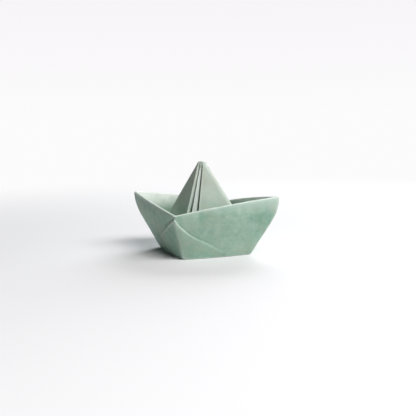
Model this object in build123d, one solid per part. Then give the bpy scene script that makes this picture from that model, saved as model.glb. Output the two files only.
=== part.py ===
"""Toy boat shaped like a folded paper boat, moulded in one piece.

Frame: X along the boat from stem to stem, Y across it, Z up.
The origin is the middle of the flat bottom. All sizes are in millimetres.
"""
import os
from math import atan, atan2, cos, degrees, sin

from build123d import *

# Overall size; length and beam are taken over the sharp edges, before rounding
boat_length = 140.7
boat_beam = 102.4
tip_height = 50.0
mid_rim_height = 38.2
sheer_rise = 0.8
sail_height = 78.3

# Hull outline, one row per level: shares of tip height, half length and half beam
hull_rows = [
    (0.0, 0.6257, 0.7153),
    (0.208, 0.724, 0.803),
    (0.416, 0.8224, 0.8894),
    (0.624, 0.9185, 0.9681),
    (0.832, 0.9819, 1.0014),
    (1.04, 0.9983, 1.002),
]
side_bulge = 3.4
side_crease_radius = 3.0
stem_radius = 0.9
foot_radius = 1.2

# Walls and floor
wall = 2.6
stem_wall = 3.8
floor = 5.0
inner_crease_radius = 2.0
inner_stem_radius = 1.2

# Raised triangular flap on each side: its lift, the drop of its top corner below the rim,
# and the points of its two edges as shares of the foot's reach and of the corner's height
flap_lift = 1.2
flap_drop = 3.0
flap_right_edge = [(0.11, 0.778), (0.25, 0.568), (0.45, 0.378), (0.68, 0.15)]
flap_left_edge = [(0.18, 0.876), (0.32, 0.756), (0.47, 0.639), (0.63, 0.52), (0.84, 0.3)]

# Sail: a four-sided pyramid, its sharp faces meeting at the apex height before rounding
sail_apex = 85.05
sail_reach_per_height = 0.674
sail_depth_per_height = 0.485
sail_edge_radius = 2.3

# Rib between two slots down the front and back ridges, at the foot and at the top of the sail:
# share of the sail height, shares of the foot's reach for rib half width, lip half width and
# lip thickness, shares of the foot's depth for the rib front and the slot behind it
ridge_rows = [
    (0.0, 0.0677, 0.1443, 0.055, 0.766, 0.177),
    (1.02, 0.007, 0.0361, 0.021, 0.0016, 0.021),
]


def hull_section(z, reach, half_width):
    """Rhombus with bowed sides: two stems on X and two creases on Y."""
    corners = [(reach, 0), (0, half_width), (-reach, 0), (0, -half_width)]
    sides = []
    for (x1, y1), (x2, y2) in zip(corners, corners[1:] + corners[:1]):
        bow = side_bulge if y1 + y2 > 0 else -side_bulge
        sides.append(ThreePointArc((x1, y1), ((x1 + x2) / 2, (y1 + y2) / 2 + bow), (x2, y2)))
    return Pos(0, 0, z) * make_face(sides)


def hull_solid(side_offset, stem_offset, crease_radius, end_radius, start=0.0):
    """Smooth body through the hull rows moved out or in, its standing edges rounded."""
    sections = []
    for height_share, length_share, beam_share in hull_rows:
        reach = boat_length / 2 * length_share + stem_offset
        half_width = boat_beam / 2 * beam_share + side_offset
        sections.append(hull_section(tip_height * height_share, reach, half_width))
    solid = loft(sections)
    if start > 0:
        solid -= Box(boat_length * 2, boat_length * 2, start, align=(Align.CENTER, Align.CENTER, Align.MIN))
    standing = solid.edges().filter_by(lambda e: e.bounding_box().size.Z > tip_height / 2)
    creases = standing.filter_by(lambda e: abs(e.center().Y) > boat_beam / 4)
    solid = fillet(creases, crease_radius)
    standing = solid.edges().filter_by(lambda e: e.bounding_box().size.Z > tip_height / 2)
    stems = standing.filter_by(lambda e: abs(e.center().X) > boat_length / 4)
    return fillet(stems, end_radius)


def sail_section(z):
    """Rhombus of the sail at height z."""
    reach = (sail_apex - z) * sail_reach_per_height
    depth = (sail_apex - z) * sail_depth_per_height
    corners = [(reach, 0), (0, depth), (-reach, 0), (0, -depth)]
    return Pos(0, 0, z) * make_face(Polyline(*corners, close=True))


def ridge_section(level, rib, lip, lip_thickness, rib_front, slot_depth):
    """Stock taken off the front ridge at one level: the sharp corner, two slots and the rib front."""
    foot_reach = sail_apex * sail_reach_per_height
    foot_depth = sail_apex * sail_depth_per_height
    z = sail_height * level
    depth = (sail_apex - z) * sail_depth_per_height
    slope = sail_depth_per_height / sail_reach_per_height
    front = -foot_depth * rib_front
    deep = front + foot_depth * slot_depth
    lip_x = foot_reach * lip
    lip_y = lip_x * slope - depth
    inner_x = lip_x - foot_reach * lip_thickness * sin(atan(slope))
    inner_y = lip_y + foot_reach * lip_thickness * cos(atan(slope))
    right = [(foot_reach * rib, front), (foot_reach * rib, deep), (inner_x, deep),
             (inner_x, inner_y), (lip_x, lip_y), (lip_x, -boat_beam)]
    left = [(-x, y) for x, y in reversed(right)]
    return Pos(0, 0, z) * make_face(Polyline(*right, *left, close=True))


# Outer body up to above the tips
outer = hull_solid(0, 0, side_crease_radius, stem_radius)
outer = fillet(outer.edges().group_by(Axis.Z)[0], foot_radius)

# Raised flap on one side, then turned half round for the other side
lifted = hull_solid(flap_lift, 0, side_crease_radius, stem_radius)
foot_reach = boat_length / 2 * hull_rows[0][1] - wall
flap_top = mid_rim_height - flap_drop
right_points = [(foot_reach * across, flap_top * up) for across, up in flap_right_edge]
left_points = [(-foot_reach * across, flap_top * up) for across, up in reversed(flap_left_edge)]
flap_outline = [
    Spline((0, flap_top), *right_points, (foot_reach, 0)),
    Line((foot_reach, 0), (-foot_reach, 0)),
    Spline((-foot_reach, 0), *left_points, (0, flap_top)),
]
flap = lifted & extrude(Plane.XZ * make_face(flap_outline), amount=boat_beam)
outer += flap
outer += Rot(0, 0, 180) * flap

# Well inside the hull, open at the top
well = hull_solid(-wall, -stem_wall, inner_crease_radius, inner_stem_radius, start=floor)

# Everything above the rim line, which rises from the middle to both tips
half_length = boat_length / 2
quarter_rim = (mid_rim_height + tip_height) / 2 + sheer_rise
top = tip_height * 2
sheer = [
    ThreePointArc((-half_length, tip_height), (-half_length / 2, quarter_rim), (0, mid_rim_height)),
    ThreePointArc((0, mid_rim_height), (half_length / 2, quarter_rim), (half_length, tip_height)),
    Polyline((half_length, tip_height), (boat_length, tip_height), (boat_length, top),
             (-boat_length, top), (-boat_length, tip_height), (-half_length, tip_height)),
]
above_rim = extrude(Plane.XZ * make_face(sheer), amount=boat_beam, both=True)

hull = outer - well - above_rim

# Sail with rounded side edges and a blunt rounded top
inward = degrees(atan(sail_depth_per_height * cos(atan2(sail_depth_per_height, sail_reach_per_height))))
sail = extrude(sail_section(0), amount=sail_height, taper=inward)
side_edges = sail.edges().filter_by(
    lambda e: abs(e.center().Y) < wall and e.bounding_box().size.Z > tip_height)
sail = fillet(side_edges + sail.edges().group_by(Axis.Z)[-1], sail_edge_radius)
ridge_cut = loft([ridge_section(*row) for row in ridge_rows], ruled=True)
sail -= ridge_cut
sail -= Rot(0, 0, 180) * ridge_cut

# Sail trimmed to the middle of the hull wall where its feet run into the hull
core = hull_solid(-wall / 2, -stem_wall / 2, inner_crease_radius, inner_stem_radius)
skirt = Box(boat_length * 2, boat_length * 2, tip_height, align=(Align.CENTER, Align.CENTER, Align.MIN))
sail -= skirt - core

boat = hull + sail
boat.label = "boat"

os.makedirs("parts", exist_ok=True)
export_step(boat, "parts/boat.step")
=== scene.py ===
# %% [markdown]
# # A toy boat in the shape of a folded paper boat
#
# The real thing is one soft moulding. It copies the folds of a paper boat: two bowed side walls
# that meet in upright stems, a raised flap on each side and a four-sided sail in the middle.
# This lesson keeps the measured frame and grows the same form again as a finer mesh,
# with soft edges, then gives it a matte rubber finish, a floor, light and a camera.

# %% Load the frame
from math import atan, atan2, cos, pi, radians, sin, tan

import bmesh
import bpy
from mathutils import Matrix, Vector


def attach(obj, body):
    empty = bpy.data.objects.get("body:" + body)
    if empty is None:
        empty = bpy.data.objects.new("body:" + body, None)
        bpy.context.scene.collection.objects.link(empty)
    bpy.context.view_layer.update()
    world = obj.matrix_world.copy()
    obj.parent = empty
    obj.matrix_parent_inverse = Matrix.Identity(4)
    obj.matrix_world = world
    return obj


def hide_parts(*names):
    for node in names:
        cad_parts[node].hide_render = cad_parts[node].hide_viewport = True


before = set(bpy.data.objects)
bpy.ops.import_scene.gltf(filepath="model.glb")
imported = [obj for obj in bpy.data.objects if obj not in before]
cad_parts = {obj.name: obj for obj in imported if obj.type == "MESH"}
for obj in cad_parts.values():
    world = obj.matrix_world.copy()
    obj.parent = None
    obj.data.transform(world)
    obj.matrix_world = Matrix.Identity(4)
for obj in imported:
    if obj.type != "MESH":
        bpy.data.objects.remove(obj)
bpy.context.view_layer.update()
scene = bpy.context.scene
MM = 0.001

# %% [markdown]
# ## Formulas in a geometry tree
#
# A Geometry Nodes tree is a drawing of a calculation. Long formulas are hard to draw by hand,
# so a small class stands for one value in the tree and makes a Math node for each + - * / sign.
# The formula can then be read as arithmetic, and the tree still holds every step.

# %% A value inside a tree
class Value:
    """One number in a node tree. Arithmetic on it adds Math nodes."""

    def __init__(self, tree, socket):
        self.tree, self.socket = tree, socket

    def math(self, operation, *others):
        """What a Math node makes of this value and the others."""
        node = self.tree.nodes.new("ShaderNodeMath")
        node.operation = operation
        for socket, value in zip(node.inputs, (self, *others)):
            if isinstance(value, Value):
                self.tree.links.new(value.socket, socket)
            else:
                socket.default_value = value
        return Value(self.tree, node.outputs[0])

    def __add__(self, other):
        return self.math("ADD", other)

    def __sub__(self, other):
        return self.math("SUBTRACT", other)

    def __mul__(self, other):
        return self.math("MULTIPLY", other)

    def __truediv__(self, other):
        return self.math("DIVIDE", other)

    def flipped(self):
        """One minus the value."""
        return self * -1.0 + 1.0

    def rounded(self, softness):
        """The size of the value, 0 to 1, with its kink at zero rounded off."""
        square = softness * softness
        low = (self * self + square).math("SQRT") - softness
        high = (square + 1.0).math("SQRT") - softness
        return low / high


def curve_through(value, points, handles="AUTO", kinks=()):
    """A Float Curve node that turns the value, 0 to 1, into the height of the drawn curve."""
    node = value.tree.nodes.new("ShaderNodeFloatCurve")
    curve = node.mapping.curves[0]
    while len(curve.points) < len(points):
        curve.points.new(0.5, 0.5)
    for point, (across, up) in zip(curve.points, sorted(points)):
        point.location = (across, up)
        point.handle_type = "VECTOR" if across in kinks else handles
    node.mapping.update()
    value.tree.links.new(value.socket, node.inputs["Value"])
    return Value(value.tree, node.outputs["Value"])


# %% [markdown]
# ## Trees and the sheets they fold
#
# Each tree has named inputs for its sizes, so anyone can open it and change one. The hull's tree
# works on a sheet of points that carry their own numbers, such as how far round or how high a point
# lies. It reads them by name and puts each point in its place. Every tree ends by realizing
# the result and giving it a material. Then the modifier is worked into a plain mesh and cleared.

# %% Start and end of a geometry tree
WELD = 0.005 * MM


def new_tree(name, sizes):
    """An empty geometry tree with a named input for each size, and a way to read them."""
    tree = bpy.data.node_groups.new(name, "GeometryNodeTree")
    tree.interface.new_socket("Geometry", in_out="INPUT", socket_type="NodeSocketGeometry")
    tree.interface.new_socket("Geometry", in_out="OUTPUT", socket_type="NodeSocketGeometry")
    for size, amount in sizes.items():
        socket = tree.interface.new_socket(size, in_out="INPUT", socket_type="NodeSocketFloat")
        socket.default_value = amount
    entry = tree.nodes.new("NodeGroupInput")
    values = {size: Value(tree, entry.outputs[size]) for size in sizes}
    return tree, entry, values


def attribute(tree, name):
    """A number that each point of the starting mesh carries."""
    node = tree.nodes.new("GeometryNodeInputNamedAttribute")
    node.data_type = "FLOAT"
    node.inputs["Name"].default_value = name
    return Value(tree, node.outputs["Attribute"])


def place_points(tree, entry, x, y, z):
    """Moves every point to x, y, z, given in millimetres, and welds the points that meet."""
    place = tree.nodes.new("ShaderNodeCombineXYZ")
    for value, socket in zip((x, y, z), place.inputs):
        tree.links.new((value * MM).socket, socket)
    move = tree.nodes.new("GeometryNodeSetPosition")
    weld = tree.nodes.new("GeometryNodeMergeByDistance")
    weld.inputs["Distance"].default_value = WELD
    tree.links.new(entry.outputs["Geometry"], move.inputs["Geometry"])
    tree.links.new(place.outputs["Vector"], move.inputs["Position"])
    tree.links.new(move.outputs["Geometry"], weld.inputs["Geometry"])
    return weld


def end_tree(tree, node, material):
    """Realizes what the node gives, sets the material and leads it out of the tree."""
    real = tree.nodes.new("GeometryNodeRealizeInstances")
    paint = tree.nodes.new("GeometryNodeSetMaterial")
    paint.inputs["Material"].default_value = material
    leave = tree.nodes.new("NodeGroupOutput")
    chain = [node, real, paint, leave]
    for before, after in zip(chain, chain[1:]):
        tree.links.new(before.outputs["Geometry"], after.inputs["Geometry"])


# %% Sheets of points and plain meshes
def tube_faces(count, rings):
    """Four-sided faces that join each ring of points to the next one."""
    faces = []
    for ring in range(rings - 1):
        low, high = ring * count, (ring + 1) * count
        for step in range(count):
            after = (step + 1) % count
            faces.append((low + step, low + after, high + after, high + step))
    return faces


def lattice(name, columns, rows):
    """A sheet of points, closed round into a tube. Each row and column has its own numbers."""
    mesh = bpy.data.meshes.new(name)
    wide, high = len(columns), len(rows)
    corners = [(c / wide, r / high, 0.0) for r in range(high) for c in range(wide)]
    mesh.from_pydata(corners, [], tube_faces(wide, high))
    numbers = {key: [column[key] for _ in rows for column in columns] for key in columns[0]}
    numbers.update({key: [line[key] for line in rows for _ in columns] for key in rows[0]})
    for key, values in numbers.items():
        mesh.attributes.new(key, "FLOAT", "POINT").data.foreach_set("value", values)
    obj = bpy.data.objects.new(name, mesh)
    scene.collection.objects.link(obj)
    return obj


def settled(obj, name):
    """The object with its modifiers worked into a plain mesh."""
    depsgraph = bpy.context.evaluated_depsgraph_get()
    mesh = bpy.data.meshes.new_from_object(obj.evaluated_get(depsgraph))
    mesh.name = name
    obj.modifiers.clear()
    obj.data = mesh
    obj.name = name
    print(name, len(mesh.vertices), "points", len(mesh.polygons), "faces")
    return obj


def grow(obj, tree):
    """Gives the object the tree as a modifier and settles it."""
    modifier = obj.modifiers.new("shape", "NODES")
    modifier.node_group = tree
    return settled(obj, obj.name)


# %% [markdown]
# ## The sizes of the boat
#
# These repeat the measured sizes of the frame, in millimetres. The hull's outline is given as shares
# at several levels, so a change of length or height carries the whole form with it.

# %% Sizes
hull_sizes = {
    "Length": 139.8,
    "Beam": 101.2,
    "Tip height": 50.0,
    "Mid rim height": 38.2,
    "Sheer rise": 0.8,
    "Side bulge": 3.0,
    "Stem wall per wall": 1.46,
    "Floor": 5.0,
    "Flap lift": 1.2,
    "Flap top": 35.2,
    "Bevel at top": 1.1,
    "Bevel at foot": 3.2,
    "Hollow depth": 1.3,
    "Crease softness": 0.02,
    "Stem softness": 0.012,
}
# Level as a share of the tip height, then half length and half beam as shares
hull_levels = [
    (0.0, 0.6257, 0.7153),
    (0.1, 0.6752, 0.7607),
    (0.2, 0.7204, 0.7998),
    (0.3, 0.7665, 0.84),
    (0.4, 0.8146, 0.8825),
    (0.5, 0.863, 0.9244),
    (0.6, 0.9085, 0.9607),
    (0.7, 0.947, 0.9868),
    (0.8, 0.9753, 0.9985),
    (0.9, 0.9918, 1.0),
    (1.04, 0.9983, 1.0),
]
highest_level = hull_levels[-1][0]
# The two edges of the raised flap: share of the foot's reach, share of the flap's top
flap_right = [(0.11, 0.778), (0.25, 0.568), (0.45, 0.378), (0.68, 0.15), (0.95, 0.01)]
flap_left = [(0.18, 0.876), (0.32, 0.756), (0.47, 0.639), (0.63, 0.52), (0.84, 0.3), (0.97, 0.05)]
# The flap's edge never comes lower than this, so that its bevel stays clear of the foot
lowest_edge = 2.8
wall = 2.6
rim_round = 0.85
foot_round = 1.2
floor_round = 1.5
print("hull", hull_sizes["Length"], "by", hull_sizes["Beam"], "by", hull_sizes["Tip height"], "mm")


# %% The flap's edge along the hull
def read_table(table, level):
    """The row of a table at a level, read between the rows below and above it."""
    for below, above in zip(table, table[1:]):
        if level <= above[0]:
            share = (level - below[0]) / (above[0] - below[0])
            return [a + (b - a) * share for a, b in zip(below[1:], above[1:])]
    return list(table[-1][1:])


def along_hull(reach_share, height_share):
    """Where a point of the flap's edge lies between the crease, 0, and the stem, 1."""
    half_length = hull_sizes["Length"] / 2
    foot_reach = half_length * hull_levels[0][1] - wall
    level = hull_sizes["Flap top"] * height_share / hull_sizes["Tip height"]
    return foot_reach * reach_share / (half_length * read_table(hull_levels, level)[0])


# Seen from outside, a side goes from 0 at its left stem to 1 at its right one, with its crease here
crease = 0.5
flap_edge = [(0.0, 0.0), (crease, 1.0), (1.0, 0.0)]
flap_edge += [(crease + along_hull(*point) / 2, point[1]) for point in flap_right]
flap_edge += [(crease - along_hull(*point) / 2, point[1]) for point in flap_left]
print("the flap's edge has", len(flap_edge), "points")

# %% [markdown]
# ## The hull
#
# Seen from above, the hull is a rhombus with bowed sides at every level. A tube of points is made
# first. Each column knows its place round the rhombus, each row its place on the wall:
# up the flap, over the flap's edge, up to the rim, round it, and down inside to the floor.
# The tree then folds the tube into the hull from the named sizes. This keeps the rows of the mesh
# on the folds, so the creases stay crisp with few faces, which a sculpt or a remesh can't do.

# %% Columns and rows of a lattice
def smooth(share):
    """Eases from 0 to 1 with flat ends."""
    share = min(1.0, max(0.0, share))
    return share * share * (3 - 2 * share)


def steps(count, first=0):
    """Even shares up to 1."""
    return [step / count for step in range(first, count + 1)]


def quarter(count, first=0):
    """The sine and cosine at even steps of a quarter turn."""
    return [(sin(share * pi / 2), cos(share * pi / 2)) for share in steps(count, first)]


def around(count):
    """Shares along and across the boat for one full turn, closer together at the folds."""
    turn = []
    for corner in range(4):
        for step in range(count):
            share = smooth(step / count)
            along = (1 - share, -share, share - 1, share)[corner]
            across = (share, 1 - share, -share, share - 1)[corner]
            turn.append({"along": along, "across": across})
    return turn


def row(spread=1.0, flap=0.0, under=0.0, climb=0.0, lift=0.0, hollow=0.0, inside=0.0, inset=0.0, raised=0.0):
    """The numbers that all points of one row carry."""
    return {"spread": spread, "flap": flap, "under": under, "climb": climb, "lift": lift,
            "hollow": hollow, "inside": inside, "inset": inset, "raised": raised}


# %% The hull's columns, and its rows from the bottom's middle up to the rim
side_columns = 48
bottom_rings = (0.0, 0.3, 0.65, 0.9)
foot_steps, flap_steps, wall_steps, rim_steps = 4, 18, 24, 5
# Over the flap's edge: share of the bevel climbed, share of the lift that is left
dip = -0.08
bevel_steps = ((0.1, 0.97), (0.25, 0.82), (0.5, 0.5), (0.75, 0.15), (0.9, -0.02), (1.0, dip))
# Share of the wall above the flap over which the dip runs out and the hollow deepens
dip_run = 1 / 3
# The hollow's depth at the bevel's end, and the shares of the wall where it fades and for how long
hollow_start = 0.3
hollow_fades, fade_run = 0.16, 0.8

hull_columns = around(side_columns)
hull_rows = [row(spread=share, lift=1, inset=foot_round) for share in bottom_rings]
for rise, run in quarter(foot_steps):
    hull_rows.append(row(lift=1, inset=foot_round * (1 - rise), raised=foot_round * (1 - run)))
for share in steps(flap_steps, 1):
    hull_rows.append(row(flap=share, under=share, lift=1, raised=foot_round * (1 - share)))
for climbed, left in bevel_steps:
    hull_rows.append(row(flap=1, under=1 - climbed, lift=left, hollow=hollow_start * climbed))
for share in steps(wall_steps, 1):
    hollow = smooth(hollow_start + share / dip_run) * (1 - smooth((share - hollow_fades) / fade_run))
    left = dip * max(0.0, 1 - share / dip_run)
    hull_rows.append(row(flap=1, climb=share, lift=left, hollow=hollow, raised=-rim_round * share))
for rise, run in quarter(rim_steps, 1):
    hull_rows.append(row(flap=1, climb=1, inset=rim_round * (1 - run), raised=-rim_round * (1 - rise)))
print("rows up to the rim", len(hull_rows))

# %% The hull's rows from the rim down inside to the floor's middle
well_steps, floor_steps = 20, 4
floor_rings = (0.85, 0.5, 0.0)

for rise, run in quarter(rim_steps):
    inset = wall - rim_round * (1 - rise)
    hull_rows.append(row(inside=1, climb=1, inset=inset, raised=-rim_round * (1 - run)))
for share in steps(well_steps, 1):
    raised = -rim_round * (1 - share) + floor_round * share
    hull_rows.append(row(inside=1, climb=1 - share, inset=wall, raised=raised))
for rise, run in quarter(floor_steps, 1):
    hull_rows.append(row(inside=1, inset=wall + floor_round * (1 - run), raised=floor_round * (1 - rise)))
for share in floor_rings:
    hull_rows.append(row(spread=share, inside=1, inset=wall + floor_round))
print("hull lattice", len(hull_columns), "by", len(hull_rows))

# %% [markdown]
# ## Folding the hull
#
# The tree reads each point's numbers and works out its height first: up the flap, over its bevel,
# then on to the rim, whose line rises to both tips. The height picks the reach and the width from
# the outline's curves. Last come the flap's lift, the hollow beside the crease and the bow of the side.
# A formula for each of these keeps both sides of the boat alike.

# %% Height of each point of the hull
# Turns share * (1 - share) into an arch that is 1 high
ARCH = 4.0

mint = bpy.data.materials.new("mint_rubber")
tree, entry, size = new_tree("fold_hull", hull_sizes)
along, across, spread, flap, under, climb, lift, hollow, inside, inset, raised = (
    attribute(tree, name) for name in (*hull_columns[0], *hull_rows[0]))

# Shares with soft folds: 1 at the stems for x, 1 at the mid creases for y
to_stem = across.rounded(size["Stem softness"]).flipped()
to_crease = along.rounded(size["Crease softness"]).flipped()

rim = (size["Mid rim height"] + (size["Tip height"] - size["Mid rim height"]) * to_stem
       + size["Sheer rise"] * ARCH * to_stem * to_stem.flipped())
turned = (along * across.math("SIGN") * -1.0 + 1.0) * crease
edge_share = curve_through(turned, flap_edge, "AUTO_CLAMPED", kinks=(crease,))
edge_height = (edge_share * size["Flap top"]).math("MAXIMUM", lowest_edge)
bevel = size["Bevel at top"] + (size["Bevel at foot"] - size["Bevel at top"]) * edge_share.flipped()
bevel = bevel.math("MINIMUM", edge_height - foot_round)
edge_height = edge_height + bevel * 0.5
base = edge_height * inside.flipped() + size["Floor"] * inside
z = flap * edge_height - under * bevel + inside * size["Floor"] + climb * (rim - base) + raised
print("nodes for the height", len(tree.nodes))

# %% Reach and width of each point, and the folded hull
# Where the flap's edge is lower than its top divided by this, the flap's lift fades out
flap_fade = 6.0
# How deep the hollow is, from one stem over the crease to the other: only on the left of the crease
hollow_curve = [(0.0, 0.0), (0.15, 0.1), (0.3, 0.7), (0.42, 1.0), (0.47, 0.75), (crease, 0.0), (1.0, 0.0)]

level = z / (size["Tip height"] * highest_level)
reach_share = curve_through(level, [(h / highest_level, share) for h, share, _ in hull_levels])
width_share = curve_through(level, [(h / highest_level, share) for h, _, share in hull_levels])
reach = size["Length"] * 0.5 * reach_share - inset * size["Stem wall per wall"]
thin_out = (edge_share * flap_fade).math("MINIMUM", 1.0)
hollow_here = curve_through(turned, hollow_curve, "AUTO_CLAMPED", kinks=(crease,))
half_width = (size["Beam"] * 0.5 * width_share - inset + lift * thin_out * size["Flap lift"]
              - hollow * hollow_here * size["Hollow depth"])
x = reach * to_stem * along.math("SIGN") * spread
bow_out = size["Side bulge"] * ARCH * to_crease.flipped()
y = (half_width + bow_out) * to_crease * across.math("SIGN") * spread
end_tree(tree, place_points(tree, entry, x, y, z), mint)

hull = grow(lattice("hull", hull_columns, hull_rows), tree)

# %% [markdown]
# ## The sail
#
# The sail is a four-sided pyramid. Down its front and back ridges runs a rib between two slots,
# where the thick flaps of a folded sail would meet. One outline is drawn per level with its corners
# rounded, and the outlines are joined into a skin. Every level has the same number of points, so each
# corner of the outline becomes one clean soft edge that runs from the floor to the peak.

# %% Sizes of the sail
apex = 85.05
top = 78.3
dome = 2.34
reach_per_height = 0.674
depth_per_height = 0.466
foot_reach, foot_depth = apex * reach_per_height, apex * depth_per_height
slant = atan2(depth_per_height, reach_per_height)
# Share of the sail's height, shares of its foot reach for rib, lip and lip thickness,
# shares of its foot depth for the rib's front and the slot behind it
ridge_levels = [
    (0.0, 0.0655, 0.1395, 0.036, 0.775, 0.2),
    (1.02, 0.0095, 0.0361, 0.017, 0.0016, 0.03),
]
slots_end, slots_gone = 71.5, 76.5
# Radius of each soft corner, and the most of a side that it may take
side_soft = (4.0, 0.85)
ridge_soft = [(0.35, 0.4), (0.3, 0.4), (0.3, 0.4), (0.3, 0.4), (0.45, 0.45)]
face_steps, slot_steps = 12, 2
print("the sail's foot would reach", round(foot_reach, 1), "by", round(foot_depth, 1))


# %% Outline at one level
def soft_corner(before, corner, after, radius, most, count=4):
    """The points of a small bend that takes the place of a corner."""
    sides = [before - corner, after - corner]
    start, end = (corner + side.normalized() * min(radius, side.length * most) for side in sides)
    return [start * (1 - s) ** 2 + corner * 2 * s * (1 - s) + end * s ** 2 for s in steps(count)]


def ridge_corners(z, filled):
    """The corners on one side of the front ridge, from the lip round the slot to the rib's front."""
    rib, lip, thick, front, slot = read_table(ridge_levels, z / top)
    lip_x = foot_reach * lip
    lip_y = (apex - z) * depth_per_height - lip_x * tan(slant)
    inner_x = lip_x - foot_reach * thick * sin(slant)
    inner_y = lip_y - foot_reach * thick * cos(slant)
    deep = foot_depth * (front - slot)
    side = [(lip_x, lip_y), (inner_x, inner_y), (inner_x, deep), (foot_reach * rib, deep),
            (foot_reach * rib, foot_depth * front)]
    return [(x, -y - (lip_y - y) * filled) for x, y in side]


def sail_outline(z, filled):
    """One closed outline of the sail in millimetres, with the same count of points at any level."""
    side = ridge_corners(z, filled)
    half = [((apex - z) * reach_per_height, 0)] + side + [(-x, y) for x, y in reversed(side)]
    corners = [Vector(point) for point in half]
    corners += [-corner for corner in corners]
    softs = [side_soft] + ridge_soft + ridge_soft[::-1]
    bends = [soft_corner(corners[i - 1], corners[i], corners[(i + 1) % len(corners)], *softs[i % len(softs)])
             for i in range(len(corners))]
    points = []
    for index, bend in enumerate(bends):
        following = bends[(index + 1) % len(bends)][0]
        span = face_steps if index % len(softs) in (0, len(softs) - 1) else slot_steps
        points += bend + [bend[-1].lerp(following, step / span) for step in range(1, span)]
    return points


def slots_filled(z):
    """How far the slots have run out at a height, 0 to 1."""
    return smooth((z - slots_end) / (slots_gone - slots_end))


print("points in each outline", len(sail_outline(0, 0)))

# %% [markdown]
# ## Keeping the sail's feet in the hull
#
# Low down, the sharp side corners of the pyramid reach past the hull. On the real moulding they run
# into the wall and end there. Each low point is drawn back towards the middle until it lies
# halfway through the wall, which a few halvings find without solving the bowed outline.

# %% Hold the feet in the wall
halvings = 20


def held_in_wall(point, z):
    """Draws a low point of the sail back to the middle of the hull's wall."""
    if z > hull_sizes["Tip height"]:
        return point
    reach_share, width_share = read_table(hull_levels, z / hull_sizes["Tip height"])
    reach = hull_sizes["Length"] / 2 * reach_share - 0.5 * wall * hull_sizes["Stem wall per wall"]
    width = hull_sizes["Beam"] / 2 * width_share - 0.5 * wall

    def outside(share):
        along = abs(point.x) * share / reach
        bowed = (width + ARCH * hull_sizes["Side bulge"] * along) * (1 - along)
        return along > 1 or abs(point.y) * share > bowed

    if not outside(1.0):
        return point
    inner, outer = 0.0, 1.0
    for _ in range(halvings):
        middle = (inner + outer) / 2
        inner, outer = (inner, middle) if outside(middle) else (middle, outer)
    return point * inner


# %% Rings of the sail, up its faces and over its domed peak
face_lean = atan(depth_per_height * cos(slant))
sail_foot, shoulder = 2.5, top - dome * (1 - sin(face_lean))
shoulder_width = (apex - shoulder) * depth_per_height * cos(slant)
face_rings, dome_rings = 46, 8
crowding = 1.25

rings = []
for share in steps(face_rings):
    z = sail_foot + (shoulder - sail_foot) * (1 - (1 - share) ** crowding)
    rings.append([(*held_in_wall(point, z), z) for point in sail_outline(z, slots_filled(z))])
for share in steps(dome_rings, 1):
    angle = face_lean + (pi / 2 - face_lean) * share
    drawn = 1 - dome * (cos(face_lean) - cos(angle)) / shoulder_width
    z = top - dome * (1 - sin(angle))
    rings.append([(p.x * drawn, p.y * drawn, z) for p in sail_outline(shoulder, slots_filled(z))])
print("rings", len(rings), "from", sail_foot, "to", top, "mm")

# %% Skin of the sail
count = len(rings[0])
last = (len(rings) - 1) * count
points = [tuple(value * MM for value in point) for ring in rings for point in ring]
faces = tube_faces(count, len(rings))
faces += [tuple(reversed(range(count))), tuple(range(last, last + count))]
mesh = bpy.data.meshes.new("sail")
mesh.from_pydata(points, [], faces)
mesh.materials.append(mint)
sail = bpy.data.objects.new("sail", mesh)
scene.collection.objects.link(sail)
print("sail", len(mesh.vertices), "points")

# %% [markdown]
# ## One moulding
#
# The real boat is one piece, so the sail is fused to the hull. A remesh would do that too, but it
# would blunt the thin lips of the slots, so an exact Boolean joins the two and keeps every face.
# The Weighted Normal modifier then keeps the flat faces flat beside their narrow soft edges.

# %% Fuse hull and sail
TWIN_POINTS = 0.02 * MM
SLIVER = 0.01 * MM


def cleaned(mesh):
    """Clears slivers and points all faces outwards."""
    work = bmesh.new()
    work.from_mesh(mesh)
    bmesh.ops.remove_doubles(work, verts=work.verts, dist=TWIN_POINTS)
    bmesh.ops.dissolve_degenerate(work, edges=work.edges, dist=SLIVER)
    bmesh.ops.recalc_face_normals(work, faces=work.faces)
    loose = [edge for edge in work.edges if len(edge.link_faces) != 2]
    work.to_mesh(mesh)
    work.free()
    print(mesh.name, "open edges", len(loose))


cleaned(hull.data)
cleaned(sail.data)
fuse = hull.modifiers.new("fuse", "BOOLEAN")
fuse.operation = "UNION"
fuse.solver = "EXACT"
fuse.object = sail
boat = settled(hull, "boat_moulding")
bpy.data.objects.remove(sail)
cleaned(boat.data)
boat.data.shade_smooth()
even = boat.modifiers.new("even", "WEIGHTED_NORMAL")
even.keep_sharp = False
boat = settled(boat, "boat_moulding")

# %% [markdown]
# ## Masks on the moulding
#
# Soft rubber lets a little light through, so thin edges look paler than broad walls. The material paints
# that light in as paler edges and a paler rib, paints the upper inner walls paler as painted light, and
# paints
# shade into the folds and low on the inner walls. Six numbers are stored on the points for the material to
# read:
# how sharply the surface bends outwards and inwards, where the painted light on the inner walls lies, and
# what belongs to the rib, to the upper sail and to the low inner walls. The tree works them out from
# the finished form itself, so no mask has to be painted by hand.

# %% What the masks are made from
def ramp(value, start, end):
    """Goes from 0 at start to 1 at end, and stays there. The end may be the lower of the two."""
    return ((value - start) / (end - start)).math("MAXIMUM", 0.0).math("MINIMUM", 1.0)


def axes(tree, vector):
    """The x, y and z of a vector socket."""
    split = tree.nodes.new("ShaderNodeSeparateXYZ")
    tree.links.new(vector, split.inputs["Vector"])
    return [Value(tree, output) for output in split.outputs]


def store(tree, before, name, value):
    """Adds a node that keeps the value on the points under a name."""
    node = tree.nodes.new("GeometryNodeStoreNamedAttribute")
    node.data_type = "FLOAT"
    node.domain = "POINT"
    node.inputs["Name"].default_value = name
    tree.links.new(before.outputs["Geometry"], node.inputs["Geometry"])
    tree.links.new(value.socket, node.inputs["Value"])
    return node


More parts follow.
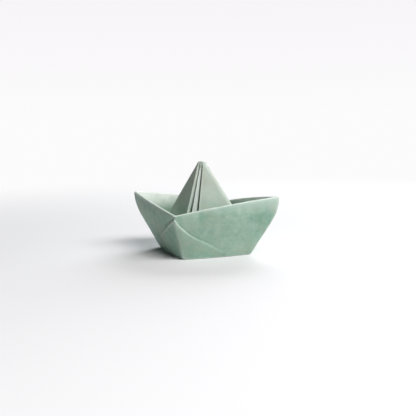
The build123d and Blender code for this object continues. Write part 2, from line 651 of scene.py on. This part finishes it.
tree, entry, size = new_tree("rubber_masks", {
    "Bend that counts": 0.16, "Inner wall light from": 33.0, "Inner wall light to": 46.0, "Rib half width at foot": 4.2})
bends = tree.nodes.new("GeometryNodeInputMeshEdgeAngle")
blur = tree.nodes.new("GeometryNodeBlurAttribute")
blur.data_type = "FLOAT"
blur.inputs["Iterations"].default_value = 1
tree.links.new(bends.outputs["Signed Angle"], blur.inputs["Value"])
bend = Value(tree, blur.outputs["Value"]) / size["Bend that counts"]

position = tree.nodes.new("GeometryNodeInputPosition").outputs["Position"]
x, y, z = (value / MM for value in axes(tree, position))
nx, ny, nz = axes(tree, tree.nodes.new("GeometryNodeInputNormal").outputs["Normal"])
inward = (x * nx + y * ny) / (x * x + y * y + 1.0).math("SQRT") * -1.0
faces_inward = ramp(inward, 0.2, 0.5)
below_apex = (z * -1.0 + apex).math("MAXIMUM", 1.0)
# One on the sail's own outline, and more outside it
from_sail = (x.math("ABSOLUTE") / (below_apex * reach_per_height)
             + y.math("ABSOLUTE") / (below_apex * depth_per_height))
print("mask inputs", sorted(size))

# %% The six masks
# Heights in millimetres between which a mask comes in or goes out
fold_shade_fades = (76.0, 70.0)
sail_turns_grey = (22.0, 64.0)
well_shade_fades = (46.0, 30.0)
rib_foot, rib_peak = (10.0, 14.0), (75.0, 70.0)
# How much of its width the rib loses up to the peak, and the softness of its sides in millimetres
rib_taper, rib_side = 0.9, 0.2
# Shares of a full bend, and of the sail's own outline
bend_range, sail_range = (0.15, 1.0), (1.12, 1.02)

rib_half = size["Rib half width at foot"] * (z / top * -rib_taper + 1.0)
rib = ramp(rib_half - x.math("ABSOLUTE"), -rib_side, rib_side)
# The rib's front looks away from the middle of the boat and a little up, and stands off the mid line
for condition in (ramp(ny * y.math("SIGN"), 0.7, 0.85), ramp(nz, 0.1, 0.2),
                  ramp(y.math("ABSOLUTE"), 0.3, 0.8), ramp(z, *rib_foot), ramp(z, *rib_peak)):
    rib = rib * condition
# Masks for painted light and shade: edges and the rib get painted highlights, the upper inner walls painted
# light, the folds and the low inner walls painted shade
masks = {
    "edge": ramp(bend, *bend_range),
    "fold": ramp(bend * -1.0, *bend_range) * ramp(z, *fold_shade_fades),
    "inner_wall_light": faces_inward * ramp(z, size["Inner wall light from"], size["Inner wall light to"]),
    "rib": rib,
    "sail": ramp(from_sail, *sail_range) * ramp(z, *sail_turns_grey),
    "well_shade": faces_inward * ramp(z, *well_shade_fades),
}
step = entry
for name, value in masks.items():
    step = store(tree, step, name, value)
end_tree(tree, step, mint)
boat = grow(boat, tree)
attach(boat, "root")
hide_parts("boat")
for name in masks:
    values = [item.value for item in boat.data.attributes[name].data]
    print(name, "mean", round(sum(values) / len(values), 3), "most", round(max(values), 3))

# %% [markdown]
# ## Shader groups for rubber
#
# The finish is drawn by small shader groups, each with one job. One mottles the mint colour, as the
# pigment in natural rubber never mixes quite evenly. One lays a paler tone over a mask: painted light on
# edges, the rib and the upper inner walls.
# One gives the fine grain of the mould. They all read Object coordinates in metres, so the pattern
# stays with the boat, and it needs no picture.

# %% Helpers for shader trees
# A Mix node holds sockets for every kind of data. These are the places of those that mix colours.
SHARE, FIRST, SECOND, RESULT = 0, 6, 7, 2


def shader_group(name, inputs, outputs):
    """An empty shader group with named inputs and outputs."""
    tree = bpy.data.node_groups.new(name, "ShaderNodeTree")
    for key, (kind, value) in inputs.items():
        socket = tree.interface.new_socket(key, in_out="INPUT", socket_type="NodeSocket" + kind)
        if value is not None:
            socket.default_value = value
    for key, kind in outputs.items():
        tree.interface.new_socket(key, in_out="OUTPUT", socket_type="NodeSocket" + kind)
    return tree, tree.nodes.new("NodeGroupInput"), tree.nodes.new("NodeGroupOutput")


def noise(tree, vector, scale, detail=2.0, roughness=0.5, distortion=0.0):
    """Soft random blotches; scale counts them per metre."""
    node = tree.nodes.new("ShaderNodeTexNoise")
    amounts = {"Scale": scale, "Detail": detail, "Roughness": roughness, "Distortion": distortion}
    for key, value in amounts.items():
        node.inputs[key].default_value = value
    tree.links.new(vector, node.inputs["Vector"])
    return Value(tree, node.outputs[0])


def mixed(tree, share, first, second):
    """A colour between two colours. Each is a socket or a plain colour."""
    node = tree.nodes.new("ShaderNodeMix")
    node.data_type = "RGBA"
    tree.links.new(share.socket, node.inputs[SHARE])
    for value, socket in ((first, node.inputs[FIRST]), (second, node.inputs[SECOND])):
        if isinstance(value, tuple):
            socket.default_value = (*value, 1.0)
        else:
            tree.links.new(value, socket)
    return node.outputs[RESULT]


# %% Colours and the mottle
DEEP_MINT = (0.20, 0.36, 0.272)
LIGHT_MINT = (0.41, 0.54, 0.45)
WARM_GREY = (0.40, 0.425, 0.335)
# The rim tone and the last two pale tones are painted light; the two dark tones after the sail's grey are
# painted shade
RIM_PAINTED_LIGHT = (0.50, 0.61, 0.56)
SAIL_GREY = (0.40, 0.41, 0.345)
WELL_PAINTED_SHADE = (0.16, 0.26, 0.19)
FOLD_PAINTED_SHADE = (0.10, 0.15, 0.11)
PAINTED_PALE_LIGHT = (0.84, 0.88, 0.84)
RIB_PAINTED_HIGHLIGHT = (0.86, 0.97, 0.91)

mottle, into, out = shader_group(
    "rubber_mottle", {"Vector": ("Vector", None), "Warmth": ("Float", 0.5)}, {"Color": "Color"})
vector = into.outputs["Vector"]
broad = ramp(noise(mottle, vector, 42.0, detail=3.0, roughness=0.55, distortion=0.6), 0.35, 0.65)
small = ramp(noise(mottle, vector, 170.0, detail=5.0, roughness=0.7), 0.36, 0.64)
warm = ramp(noise(mottle, vector, 62.0, distortion=0.8), 0.5, 0.72)
tone = mixed(mottle, broad * 0.5 + small * 0.5, DEEP_MINT, LIGHT_MINT)
warm = warm * Value(mottle, into.outputs["Warmth"])
mottle.links.new(mixed(mottle, warm, tone, WARM_GREY), out.inputs["Color"])
print(mottle.name, len(mottle.nodes), "nodes")

# %% Paler tone over a mask, and mould grain
paler, into, out = shader_group("pale_over", {
    "Vector": ("Vector", None), "Color": ("Color", (*LIGHT_MINT, 1.0)), "Mask": ("Float", 0.0),
    "Pale": ("Color", (*PAINTED_PALE_LIGHT, 1.0)), "Unevenness": ("Float", 0.4)}, {"Color": "Color"})
patch = noise(paler, into.outputs["Vector"], 210.0) * 2.0 - 1.0
patch = patch * Value(paler, into.outputs["Unevenness"]) + 1.0
share = ramp(Value(paler, into.outputs["Mask"]) * patch, 0.0, 1.0)
paler.links.new(mixed(paler, share, into.outputs["Color"], into.outputs["Pale"]), out.inputs["Color"])

grain, into, out = shader_group(
    "mould_grain", {"Vector": ("Vector", None)}, {"Height": "Float", "Roughness": "Float"})
vector = into.outputs["Vector"]
fine = noise(grain, vector, 1500.0, roughness=0.6)
dents = noise(grain, vector, 90.0, detail=3.0)
pores = grain.nodes.new("ShaderNodeTexVoronoi")
pores.inputs["Scale"].default_value = 620.0
grain.links.new(vector, pores.inputs["Vector"])
pits = ramp(Value(grain, pores.outputs["Distance"]), 0.0, 0.22)
grain.links.new((fine * 0.25 + dents * 1.6 + pits * 0.2).socket, out.inputs["Height"])
grain.links.new((dents * 0.22 + fine * 0.1 + 0.42).socket, out.inputs["Roughness"])
print(paler.name, len(paler.nodes), "nodes,", grain.name, len(grain.nodes), "nodes")

# %% [markdown]
# ## The rubber material
#
# The material joins the groups in turn: the pigment's mottle first, then painted shade towards the floor,
# painted light towards the rim, a greyer upper sail that is partly a painted tint of its shade, painted
# shade low on the inner walls, then painted light on the upper inner walls, the rib and the edges, and
# painted shade in the folds.
# The light that seeps through thin walls is the shader's own Subsurface setting,
# which costs less than a real volume and looks the same at this size.

# %% Colour of the rubber
mint.use_nodes = True
tree = mint.node_tree
shader = tree.nodes["Principled BSDF"]


def grouped(group, **links):
    """Puts a shader group into the rubber's tree and links sockets to its inputs."""
    node = tree.nodes.new("ShaderNodeGroup")
    node.node_tree = group
    for key, socket in links.items():
        tree.links.new(socket, node.inputs[key])
    return node


def mask_value(name):
    """A mask that is stored on the boat's points."""
    node = tree.nodes.new("ShaderNodeAttribute")
    node.attribute_name = name
    return Value(tree, node.outputs["Fac"])


where = tree.nodes.new("ShaderNodeTexCoord").outputs["Object"]
height = axes(tree, where)[2] / MM
base = grouped(mottle, Vector=where).outputs["Color"]
# Painted shade: the colour darkens towards the floor
base = mixed(tree, ramp(height, 46.0, 8.0) * 0.22, base, DEEP_MINT)
# Painted light: the colour turns paler from the rim's height upwards
base = mixed(tree, ramp(height, 37.0, 49.0) * 0.65, base, RIM_PAINTED_LIGHT)
# The upper sail turns greyer in patches: partly its own tone, partly a painted tint of its shade; its foot
# stays green as a painted reflection of the hull
uneven_grey = ramp(noise(tree, where, 85.0, detail=4.0, roughness=0.6, distortion=0.5), 0.35, 0.65)
base = mixed(tree, mask_value("sail") * (uneven_grey * 0.5 + 0.28), base, SAIL_GREY)
# Painted shade: the inner walls turn darker low down, where the sail and the walls shade them
base = mixed(tree, mask_value("well_shade") * 0.85, base, WELL_PAINTED_SHADE)
# Painted light: the upper inner walls are painted paler for the light they catch
base = grouped(paler, Vector=where, Color=base, Mask=mask_value("inner_wall_light").socket).outputs["Color"]
# Painted highlight: the rib's front is painted paler for the light it catches
rib = grouped(paler, Vector=where, Color=base, Mask=mask_value("rib").socket)
rib.inputs["Pale"].default_value = (*RIB_PAINTED_HIGHLIGHT, 1.0)
rib.inputs["Unevenness"].default_value = 0.1
# Convex edges are painted paler, a painted highlight for the light they catch and let through, less so on
# the sail
edge_highlight = mask_value("edge") * (mask_value("sail") * -0.2 + 0.45)
base = grouped(paler, Vector=where, Color=rib.outputs["Color"], Mask=edge_highlight.socket).outputs["Color"]
# Painted shade: concave folds and slots are painted darker
base = mixed(tree, mask_value("fold") * 0.7, base, FOLD_PAINTED_SHADE)
tree.links.new(base, shader.inputs["Base Color"])
print("rubber nodes", len(tree.nodes))

# %% Surface of the rubber
surface = grouped(grain, Vector=where)
bump = tree.nodes.new("ShaderNodeBump")
bump.inputs["Strength"].default_value = 0.7
bump.inputs["Distance"].default_value = 0.25 * MM
tree.links.new(surface.outputs["Height"], bump.inputs["Height"])
tree.links.new(surface.outputs["Roughness"], shader.inputs["Roughness"])
tree.links.new(bump.outputs["Normal"], shader.inputs["Normal"])
shader.inputs["Specular IOR Level"].default_value = 0.3
shader.inputs["Subsurface Weight"].default_value = 0.2
shader.inputs["Subsurface Radius"].default_value = (1.0, 1.0, 0.9)
shader.inputs["Subsurface Scale"].default_value = 3.0 * MM
print("rubber nodes", len(tree.nodes))

# %% [markdown]
# ## Floor
#
# The floor is a pale sheet that glows more with distance and reflects less, like a lit sweep
# in a photographer's studio, so it runs into the white backdrop with almost no line.
# The glow is weaker for light that falls on the boat, which keeps the left faces in shade.

# %% Floor
FLOOR_SIZE = 8
FLOOR_NEAR = (0.82, 0.82, 0.84)
BLACK = (0.0, 0.0, 0.0)
HORIZON = (0.973, 0.968, 0.973)
glow_starts, glow_full = 0.1, 0.75
unseen_glow = 0.25

bpy.ops.mesh.primitive_plane_add(size=FLOOR_SIZE)
ground = bpy.context.object
ground.name = "floor"
pale = bpy.data.materials.new("pale_floor")
pale.use_nodes = True
tree = pale.node_tree
sheet = tree.nodes["Principled BSDF"]
sheet.inputs["Roughness"].default_value = 0.9
sheet.inputs["Specular IOR Level"].default_value = 0.0
sheet.inputs["Emission Color"].default_value = (*HORIZON, 1)
x, y, _ = axes(tree, tree.nodes.new("ShaderNodeTexCoord").outputs["Object"])
far = ramp((x * x + y * y).math("SQRT"), glow_starts, glow_full)
far = far * (far * -2.0 + 3.0) * far
seen = Value(tree, tree.nodes.new("ShaderNodeLightPath").outputs["Is Camera Ray"])
tree.links.new((far * (seen * (1 - unseen_glow) + unseen_glow)).socket, sheet.inputs["Emission Strength"])
tree.links.new(mixed(tree, far, FLOOR_NEAR, BLACK), sheet.inputs["Base Color"])
ground.data.materials.append(pale)
print("floor", FLOOR_SIZE, "metres wide")

# %% [markdown]
# ## Camera
#
# The camera stands where the photograph was taken: low, and a little round to the right of the
# near side's middle, so that the near crease of the hull is left of the picture's middle.
# Its place and turn were fitted to the outline in the photograph.

# %% Camera
camera_data = bpy.data.cameras.new("camera")
camera_data.lens = 50.0
camera_data.sensor_width = 36.0
camera = bpy.data.objects.new("camera", camera_data)
scene.collection.objects.link(camera)
camera_place = Vector((221.22, -444.8, 107.57)) * MM
right = Vector((0.90049, 0.43435, -0.02138))
up = Vector((-0.04148, 0.13474, 0.99001))
turn = Matrix((right, up, right.cross(up))).transposed().to_4x4()
camera.matrix_world = Matrix.Translation(camera_place) @ turn
scene.camera = camera
print("camera", [round(value, 3) for value in camera_place])

# %% [markdown]
# ## Light
#
# A large soft key comes from the front right and high up, a weaker one from the right, a low one
# fills the hull's underside, and a broad light behind draws the rims. Nothing lights the left,
# so the left faces fall into soft shade. Area lights are used because their size sets how soft
# each shadow's edge is.

# %% Softboxes
KEY_WARM = (1.0, 0.985, 0.965)
FILL_COOL = (0.96, 1.0, 1.0)
BACK_COOL = (0.95, 0.98, 1.0)
light_target = Vector((0, 0, 0.04))
light_distance = 1.3


def softbox(name, round_to_front, height, size, power, tint):
    """A square light aimed at the boat; angles in degrees from the camera's right side and the floor."""
    side, lift = radians(round_to_front), radians(height)
    flat_right = Vector((right.x, right.y, 0)).normalized()
    forward = Vector((-flat_right.y, flat_right.x, 0))
    towards = (flat_right * cos(side) - forward * sin(side)) * cos(lift) + Vector((0, 0, 1)) * sin(lift)
    data = bpy.data.lights.new(name, "AREA")
    data.shape = "SQUARE"
    data.size = size
    data.energy = power
    data.color = tint
    lamp = bpy.data.objects.new(name, data)
    scene.collection.objects.link(lamp)
    lamp.location = light_target + towards * light_distance
    lamp.rotation_euler = (-towards).to_track_quat("-Z", "Y").to_euler()
    print(name, [round(value, 2) for value in lamp.location])


softbox("key_front", round_to_front=60, height=50, size=0.6, power=11.0, tint=KEY_WARM)
softbox("key_right", round_to_front=30, height=42, size=0.6, power=7.0, tint=KEY_WARM)
softbox("low_fill", round_to_front=62, height=8, size=0.8, power=2.6, tint=FILL_COOL)
softbox("back_light", round_to_front=-70, height=30, size=0.9, power=15.0, tint=BACK_COOL)

# %% [markdown]
# ## Backdrop
#
# The photograph's background is almost white and turns faintly violet towards the top. The world
# shows that to the camera alone and adds only a trace of even light, so the shade stays soft and real.

# %% Backdrop
ABOVE = (0.922, 0.889, 0.922)
even_light = 0.03

world = bpy.data.worlds.new("studio")
scene.world = world
world.use_nodes = True
tree = world.node_tree
backdrop = tree.nodes["Background"]
upward = axes(tree, tree.nodes.new("ShaderNodeTexCoord").outputs["Generated"])[2]
tree.links.new(mixed(tree, ramp(upward, 0.02, 0.27), HORIZON, ABOVE), backdrop.inputs["Color"])
seen = Value(tree, tree.nodes.new("ShaderNodeLightPath").outputs["Is Camera Ray"])
tree.links.new((seen * (1 - even_light) + even_light).socket, backdrop.inputs["Strength"])
scene.view_settings.view_transform = "Standard"
print("world", world.name, "even light", even_light)
